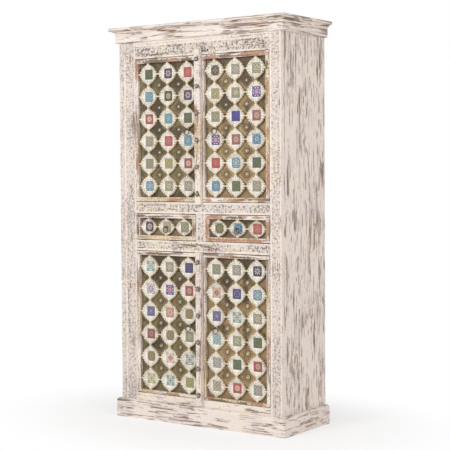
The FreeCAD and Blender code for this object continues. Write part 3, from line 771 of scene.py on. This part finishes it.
# Round bead on a plaque's neck and on its side tip: how far in, radius and y, and how dark each ring is.
NECK_INSET, TIP_INSET = 7.8, 3.9
NECK_BEAD = ((7.6, BRASS_FRONT), (7.6, -159.5), (7.1, -162.6), (5.4, -165.1), (2.8, -166.2),
             (0.3, PLAQUE_FRONT))
NECK_DARK = (1, 0.9, 0.45, 0, 0, 0)
TIP_BEAD = ((3.6, BRASS_FRONT), (3.6, -161.5), (3.1, -163.6), (1.7, -164.8), (0.2, -165.2))
TIP_DARK = (1, 0.9, 0.3, 0, 0)
BOSS_SIDES = 72
BOSS_DOTS = 18
# Round rings of a pressed diamond: radius, height, dark and the strength of its painted highlight.
BOSS_ROUND = (
    (0.6, 2.9, 0, 1), (2.2, 2.7, 0, 0.9), (3.6, 2.2, 0.1, 0.6), (4.1, 1, 1, 0), (5.2, 0.9, 0.9, 0),
    (6.6, 2, 0.2, 0.12), (8, 2.9, 0, 0.22), (9.4, 2.6, 0.1, 0.16), (10.6, 1.4, 0.7, 0),
    (12, 0.5, 1, 0), (13.4, 0.35, 0.8, 0),
)
# Its outer rings: share of the way to the diamond's edge, height, dark, and whether it has dots.
BOSS_OUTER = (
    (0.12, 0.4, 0.4, False), (0.25, 0.4, 0.15, True), (0.45, 0.4, 0.1, True), (0.6, 0.45, 0.1, False),
    (0.72, 0.5, 0.5, False), (0.82, 1.1, 0, False), (0.9, 1.1, 0, False), (1, 0.15, 0.8, False),
)


def plaque_template(half_x, half_z):
    """Points, faces, hollow and rim values of one carved plaque about the origin."""
    turns = full_turn(PLAQUE_SIDES)
    count = len(turns)
    across, up = np.abs(np.cos(turns)), np.abs(np.sin(turns))
    flank, crown = across / (half_x * 0.89), up / (half_z * 0.91)
    body = (flank ** PLAQUE_POWER + crown ** PLAQUE_POWER) ** (-1 / PLAQUE_POWER)
    notch = 1 - np.abs(np.cos(turns * LEAF_PAIRS))
    body *= 1 - 0.07 * smooth(0.25, 0.6, np.minimum(across, up) * 1.6) * notch
    neck = np.minimum(NECK_HALF / np.maximum(across, TINY), (half_z - END_GAP) / np.maximum(up, TINY))
    arm = np.minimum(TIP_HALF / np.maximum(up, TINY), (half_x - END_GAP) / np.maximum(across, TINY))
    reach = np.maximum(body, np.where(up > 0.9, neck, np.where(across > 0.9, arm, 0)))
    inner = SEAT_HALF / np.maximum(across, up)
    radius = inner + np.outer(PLAQUE_SHARES, reach - inner)
    x, z = radius * np.cos(turns), radius * np.sin(turns)

    share = np.repeat(np.array(PLAQUE_SHARES)[:, None], count, 1)
    leaf = np.abs(np.cos(turns * LEAF_PAIRS)) ** 0.6
    cut = smooth(0.42, 0.6, share) * (1 - smooth(0.94, 1, share)) * (1 - leaf)
    groove = np.exp(-((share - 0.34) / 0.05) ** 2)
    vein = 0.5 * smooth(0.5, 0.7, share) * (np.abs(np.sin(turns * LEAF_PAIRS)) < 0.12)
    rise = 0.6 + 8.4 * smooth(0, 0.55, share) ** 0.8
    rise = rise - 3.8 * cut - 1.3 * groove - vein - 1.4 * smooth(0.9, 0.985, share)
    y = np.maximum(TILE_FRONT - rise, PLAQUE_FRONT)
    y[-1] = BRASS_FRONT
    dark = np.clip(1.2 * cut + 0.9 * groove + 0.5 * vein + 0.5 * smooth(0.95, 1, share), 0, 1)
    dark[-1] = 1

    points = joined(x, y, z)
    base = len(points)
    faces = grid_faces(len(PLAQUE_SHARES), count, flip=True, closed=True)
    faces += [(i, (i + 1) % count, base + (i + 1) % count, base + i) for i in range(count)]
    floor = joined(inner * np.cos(turns), TILE_BACK, inner * np.sin(turns))
    shell = Shell()
    shell.add(np.vstack([points, floor]), faces, hollow=np.concatenate([dark.ravel(), np.ones(count)]),
              rim=np.concatenate([share.ravel(), np.zeros(count)]))
    for way in (-1, 1):
        lathe(shell, (0, way * (half_z - NECK_INSET)), NECK_BEAD, 18, hollow=NECK_DARK, rim=0.7)
    for way in (-1, 1):
        lathe(shell, (way * (half_x - TIP_INSET), 0), TIP_BEAD, 12, hollow=TIP_DARK, rim=0.8)
    hollow, rim = np.concatenate(shell.data["hollow"]), np.concatenate(shell.data["rim"])
    return np.vstack(shell.points), shell.faces, hollow, rim


def tile_template():
    """Points, faces and face places (-1 to 1) of one slightly domed tile about the origin."""
    line = np.array([-1, -0.96, -0.85, -0.5, 0, 0.5, 0.85, 0.96, 1])
    size = len(line)
    u, v = np.meshgrid(line, line)
    far = np.maximum(np.abs(u), np.abs(v))
    y = TILE_FRONT + 0.25 * (u ** 2 + v ** 2) / 2 + 0.7 * smooth(0.9, 1, far)
    points = joined(u * TILE_HALF, y, v * TILE_HALF)
    loop = border_loop(size, size)
    rear = joined(points[loop, 0], TILE_BACK, points[loop, 2])
    base, count = len(points), len(loop)
    faces = grid_faces(size, size)
    faces += [(loop[(i + 1) % count], loop[i], base + i, base + (i + 1) % count) for i in range(count)]
    place = joined(u, v, 0)
    return np.vstack([points, rear]), faces, np.vstack([place, place[loop]])


def boss_patch(shell, x, z, half_x, half_z):
    """Pressed diamond between four plaques: outline bead, ring of dots, dished ring and nail."""
    turns = full_turn(BOSS_SIDES)
    across, up = np.cos(turns), np.sin(turns)
    reach = 1 / (np.abs(across) / (half_x * 0.94) + np.abs(up) / (half_z * 0.94))
    outside = BOSS_ROUND[-1][0]
    rings = [(np.minimum(radius, reach * 0.9), *rest, False) for radius, *rest in BOSS_ROUND]
    rings += [(outside + (reach - outside) * share, height, dark, 0, dotted)
              for share, height, dark, dotted in BOSS_OUTER]
    points, hollow, bright = [], [], []
    for ring, height, dark, shine, dotted in rings:
        dots = 0.5 * np.maximum(0, np.cos(turns * BOSS_DOTS)) if dotted else np.zeros(BOSS_SIDES)
        points.append(joined(x + ring * across, BRASS_FRONT - height - dots, z + ring * up))
        hollow.append(dark + (0.5 - dots if dotted else dots))
        bright.append(np.full(BOSS_SIDES, shine))
    points = np.vstack(points)
    faces = grid_faces(len(rings), BOSS_SIDES, flip=True, closed=True)
    shell.add(points, faces, hollow=np.concatenate(hollow), shine=np.concatenate(bright), border=0)
    shell.cap(shell.count - len(points), BOSS_SIDES)


def build_plaques(name, body, centres, half_x, half_z):
    points, faces, hollow, rim = plaque_template(half_x, half_z)
    tile_points, tile_faces, tile_place = tile_template()
    plaques, tiles = Shell(), Shell()
    for (x, z), words in zip(centres, FIELDS[name].split(",")):
        plaques.add(points + (x, 0, z), faces, hollow=hollow, rim=rim)
        shape, *colours = words.split()
        flower, ring, extra, dark = SHAPES[shape]
        ground, motif, heart = [COLOURS[colour] for colour in colours]
        spots = scaled(ground, SPOT_SHADE) if dark else motif
        tiles.add(tile_points + (x, 0, z), tile_faces, tile_place=tile_place, tile_flower=flower,
                  tile_ring=ring, tile_extra=extra, tile_ground=ground, tile_motif=motif,
                  tile_heart=heart, tile_spots=spots)
    plaques.finish(f"{name}_carved_plaques", plaque_look, body, "carved_paint", [f"{name}_plaques"])
    tiles.finish(f"{name}_painted_tiles", tile_look, body, "tile_glaze", [f"{name}_tiles"])


def build_field(name):
    field_x, field_z, columns, rows, sheet_x = FIELD_BOXES[name]
    half_x, half_z = (field_x[1] - field_x[0]) / columns / 2, (field_z[1] - field_z[0]) / rows / 2
    body = name if name.endswith("drawer") else f"{name}_door"
    centres = [(field_x[0] + half_x * (2 * column + 1), field_z[1] - half_z * (2 * row + 1))
               for row in range(rows) for column in range(columns)]
    build_plaques(name, body, centres, half_x, half_z)

    sheet = Shell()
    xs, zs = np.linspace(*sheet_x, 23), np.linspace(*field_z, 5 * rows + 1)
    x, z = np.meshgrid(xs, zs)
    flat = joined(x, BRASS_FRONT, z)
    side = np.minimum(x - sheet_x[0], field_x[1] - x).ravel()
    sheet.add(flat, grid_faces(len(zs), len(xs)), hollow=0.45, shine=0, border=1 - smooth(8, 30, side))
    rear = rectangle(sheet_x, BRASS_BACK, field_z)
    sheet.add(rear, [(0, 1, 2, 3)], hollow=0, shine=0, border=0)
    for i in range(1, columns):
        for j in range(1, rows):
            boss_patch(sheet, field_x[0] + 2 * half_x * i, field_z[0] + 2 * half_z * j, half_x, half_z)
    slot = "golden_brass" if "right" in name else "dark_brass"
    sheet.finish(f"{name}_embossed_brass", brass_looks[name], body, slot, [f"{name}_brass"])


# Fittings

# Eye of each ring pull.
RING_EYES = {
    "upper_left": (-55.33, -170.3, 1327.5), "upper_right": (95, -170.3, 1327.5),
    "lower_left": (-55.33, -170.3, 447), "lower_right": (95, -170.3, 447),
    "left_drawer": (-177.375, -171.3, 888), "right_drawer": (212.875, -171.3, 888),
}
RING_RADIUS = 13
RING_WIRE = 1.78
RING_TURNS = 48
WIRE_SIDES = 12
# Rings of a dome nail from its rim: radius, height over the strip and the strength of its painted highlight.
NAIL_RINGS = ((9.2, -1.6, 0.15), (9.3, 0.4, 0.2), (8.7, 1, 0.1), (7.4, 1.1, 0),
              (6.6, 3.2, 0.1), (5.2, 4.3, 0.25), (3.2, 4.9, 0.5), (0.4, 5.1, 0.45))
NAIL_SIDES = 28
# A strip's chamfer, width and pitch of its flowers, depth of the carving, and step of its points.
STRIP_CHAMFER, STRIP_BAND, STRIP_PITCH, STRIP_CARVING, STRIP_STEP = 3, 24, 22, 1.5, 1.55


def build_rings():
    turns = full_turn(RING_TURNS)
    for name, (x, y, z) in RING_EYES.items():
        ring = Shell()
        path = joined(x + RING_RADIUS * np.cos(turns), y, z - RING_RADIUS + RING_RADIUS * np.sin(turns))
        hoop(ring, path, RING_WIRE, WIRE_SIDES, shine=0)
        ring.finish(f"{name}_round_pull", iron_look, f"{name}_pull", "iron", [f"{name}_ring"])


def strip_depth(x, z):
    """Chamfered edges and a shallow waving band."""
    near = np.minimum(x - STRIP_X[0], STRIP_X[1] - x)
    chamfer = np.clip(STRIP_CHAMFER - near, 0, STRIP_CHAMFER)
    relief = floral(z, x - NAIL_X, STRIP_BAND, STRIP_PITCH)
    return chamfer + smooth(2.4, 4.5, near) * STRIP_CARVING * (1 - 0.9 * relief)


def build_strips():
    profile = [(radius, STRIP_FRONT - height) for radius, height, _ in NAIL_RINGS]
    shine = [value for _, _, value in NAIL_RINGS]
    for level, span in STRIP_Z.items():
        body = f"{level}_left_door"
        strip = Shell()
        relief_board(strip, STRIP_X, span, DOOR_FRONT, strip_depth, STRIP_STEP, STRIP_FRONT)
        strip.finish(f"{level}_carved_strip", strip_paint, body, "painted_wood", [f"{level}_strip"])
        studs = Shell()
        for z in NAIL_Z[level]:
            lathe(studs, (NAIL_X, z), profile, NAIL_SIDES, shine=shine)
            studs.cap(studs.count - NAIL_SIDES, NAIL_SIDES)
        studs.finish(f"{level}_dome_nails", stud_look, body, "iron")


build_face_frame()
for field in FIELD_BOXES:
    build_field(field)
build_rings()
build_strips()

# Looks of the CAD nodes

LOOKS = {
    "left_side": side_paint, "right_side": side_paint, "back_boards": wood_z,
    "cornice_slab": cornice_paint, "cornice_mouldings": cornice_paint, "plinth_boards": plinth_paint,
    "fixed_floors": wood_x, "drawer_guides": wood_y, "shelves": wood_x, "button_nails": iron_look,
    "upper_turn_button": button_paint, "lower_turn_button": button_paint,
    "face_frame_stiles": stile_paint, "face_frame_rails": rail_paint,
    "upper_strip": strip_paint, "lower_strip": strip_paint,
}
for field in FIELD_BOXES:
    kinds = {"plaques": plaque_look, "tiles": tile_look, "brass": brass_looks[field], "ring": iron_look}
    if field.endswith("drawer"):
        kinds.update(front=door_paint[field], box=wood_y, staple=iron_look)
    else:
        kinds.update(frame=door_paint[field], board=wood_z, fittings=iron_look)
    LOOKS.update({f"{field}_{kind}": look for kind, look in kinds.items()})
for name, node in nodes.items():
    for slot in node.material_slots:
        slot.material = LOOKS[name]

# Floor, light and camera

# Camera, solved from points of the picture: angles, focal length in pixels, width and place.
CAMERA_YAW, CAMERA_PITCH, CAMERA_ROLL = 0.6073450804, 0.0431319823, 0.0061964747
FOCAL_PIXELS = 1222.665
PICTURE_PIXELS = 450
SENSOR_WIDTH = 36
CAMERA_PLACE = (3.201557, -4.55975, 1.134439)


def seen(tree):
    """1 on rays that the camera sees, also by gloss or through glass, else 0."""
    path = tree.nodes.new("ShaderNodeLightPath")
    share = path.outputs["Is Camera Ray"]
    for ray in ("Is Glossy Ray", "Is Transmission Ray"):
        either = tree.nodes.new("ShaderNodeMath")
        either.operation = "MAXIMUM"
        tree.links.new(share, either.inputs[0])
        tree.links.new(path.outputs[ray], either.inputs[1])
        share = either.outputs[0]
    return share


def blend(tree, share, first, second, output):
    """Mix two shaders into the output node."""
    mixer = tree.nodes.new("ShaderNodeMixShader")
    for socket, source in zip(mixer.inputs, (share, first.outputs[0], second.outputs[0])):
        tree.links.new(source, socket)
    tree.links.new(mixer.outputs[0], tree.nodes[output].inputs[0])


def build_floor():
    """Pale floor that keeps the shadow near the object and fades to white further out."""
    look = Nodes("studio_floor")
    soft = look.noise(0.6, 1, 0.4)
    look.colour = look.mix(soft, (0.95, 0.95, 0.95), (0.92, 0.92, 0.92))
    look.finish(0.8)
    far = look.vector("LENGTH", look.vector("MULTIPLY", look.place, (1, 1.4, 0)))
    share = look.plus(0.55, look.times(look.step(far, 0.45, 1.3), 0.45))
    glow = look.new("Emission")
    blend(look.tree, look.times(share, seen(look.tree)), look.shader, glow, "Material Output")
    mesh = bpy.data.meshes.new("studio_floor")
    mesh.from_pydata([(-9, -9, 0), (9, -9, 0), (9, 9, 0), (-9, 9, 0)], [], [(0, 1, 2, 3)])
    mesh.materials.append(look.material)
    obj = add_object("studio_floor", mesh)


def build_world():
    """Soft warm light from all sides, seen as white."""
    world = bpy.data.worlds.new("studio")
    world.use_nodes = True
    tree = world.node_tree
    background = tree.nodes["Background"]
    background.inputs["Color"].default_value = (1, 0.985, 0.97, 1)
    background.inputs["Strength"].default_value = 0.58
    white = tree.nodes.new("ShaderNodeBackground")
    white.inputs["Color"].default_value = (1, 1, 1, 1)
    blend(tree, seen(tree), background, white, "World Output")
    bpy.context.scene.world = world


def lamp(name, place, target, size, energy, colour=(1, 1, 1)):
    data = bpy.data.lights.new(name, "AREA")
    data.shape = "DISK"
    data.size = size
    data.energy = energy
    data.color = colour
    obj = add_object(name, data)
    obj.location = place
    obj.rotation_euler = (Vector(target) - Vector(place)).to_track_quat("-Z", "Y").to_euler()


def build_camera():
    sin_yaw, cos_yaw = math.sin(CAMERA_YAW), math.cos(CAMERA_YAW)
    sin_roll, cos_roll = math.sin(CAMERA_ROLL), math.cos(CAMERA_ROLL)
    flat = math.cos(CAMERA_PITCH)
    forward = Vector((-sin_yaw * flat, cos_yaw * flat, -math.sin(CAMERA_PITCH)))
    right = Vector((cos_yaw, sin_yaw, 0))
    down = forward.cross(right)
    level = cos_roll * right + sin_roll * down
    up = sin_roll * right - cos_roll * down
    turn = Matrix((level, up, -forward)).transposed().to_4x4()
    data = bpy.data.cameras.new("camera")
    data.sensor_width = SENSOR_WIDTH
    data.lens = FOCAL_PIXELS * SENSOR_WIDTH / PICTURE_PIXELS
    data.clip_end = 60
    obj = add_object("camera", data)
    obj.matrix_world = Matrix.Translation(CAMERA_PLACE) @ turn
    bpy.context.scene.camera = obj


build_floor()
build_world()
lamp("key", (-0.9, -4.6, 2.8), (0, 0, 0.6), 1.5, 97)
lamp("fill", (4.2, -1.8, 2.4), (0, 0, 0.9), 2.6, 59, (1, 0.97, 0.95))
build_camera()
bpy.context.scene.view_settings.view_transform = "Standard"
